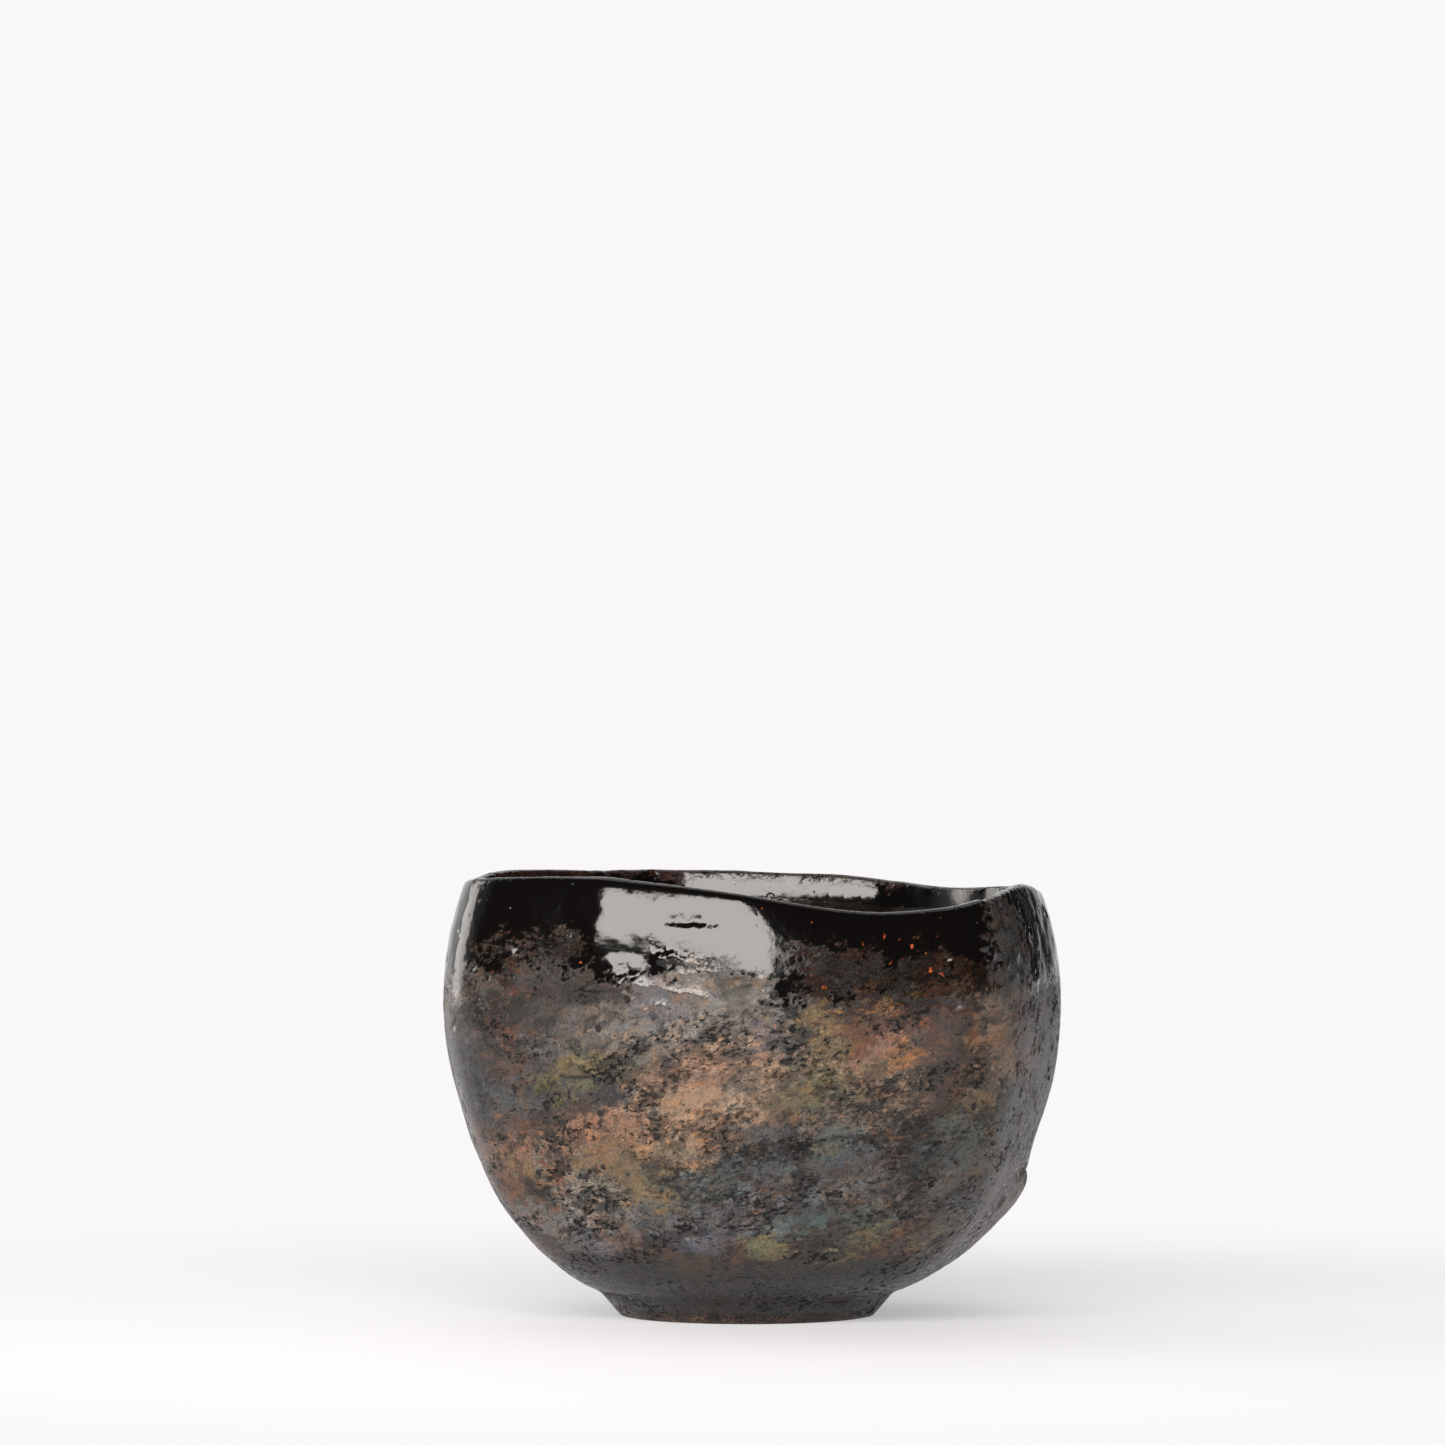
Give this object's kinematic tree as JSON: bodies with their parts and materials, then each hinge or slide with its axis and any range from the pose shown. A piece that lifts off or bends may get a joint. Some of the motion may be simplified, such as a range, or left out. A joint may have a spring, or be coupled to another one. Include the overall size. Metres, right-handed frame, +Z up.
{
  "type": "matcha bowl",
  "caption": "Hand-pinched low-fired tea bowl with faceted walls, a waved lip, a low foot ring, a tea well and separate black glaze coats.",
  "frame": {"origin": "middle of the foot ring's standing face, on the table", "axes": "+Z up out of the bowl's mouth; -Y is the front, where the lip dips lowest right of the middle; +X is the side with the low ledge"},
  "size_m": [0.1207, 0.1139, 0.0866],
  "materials": {
    "raku_clay": "matte low-fired clay, dark from the firing",
    "outer_glaze": "glossy black glaze with brown, grey and blue-grey clouds and pits",
    "lip_glaze": "glossy black glaze, thin and brown on the crest",
    "inner_glaze": "glossy black glaze"
  },
  "bodies": {
    "root": {"clay_body": "raku_clay", "foot_ring": "raku_clay", "outer_glaze": "outer_glaze", "lip_glaze": "lip_glaze", "inner_glaze": "inner_glaze", "well_glaze_pool": "inner_glaze"}
  },
  "joints": []
}
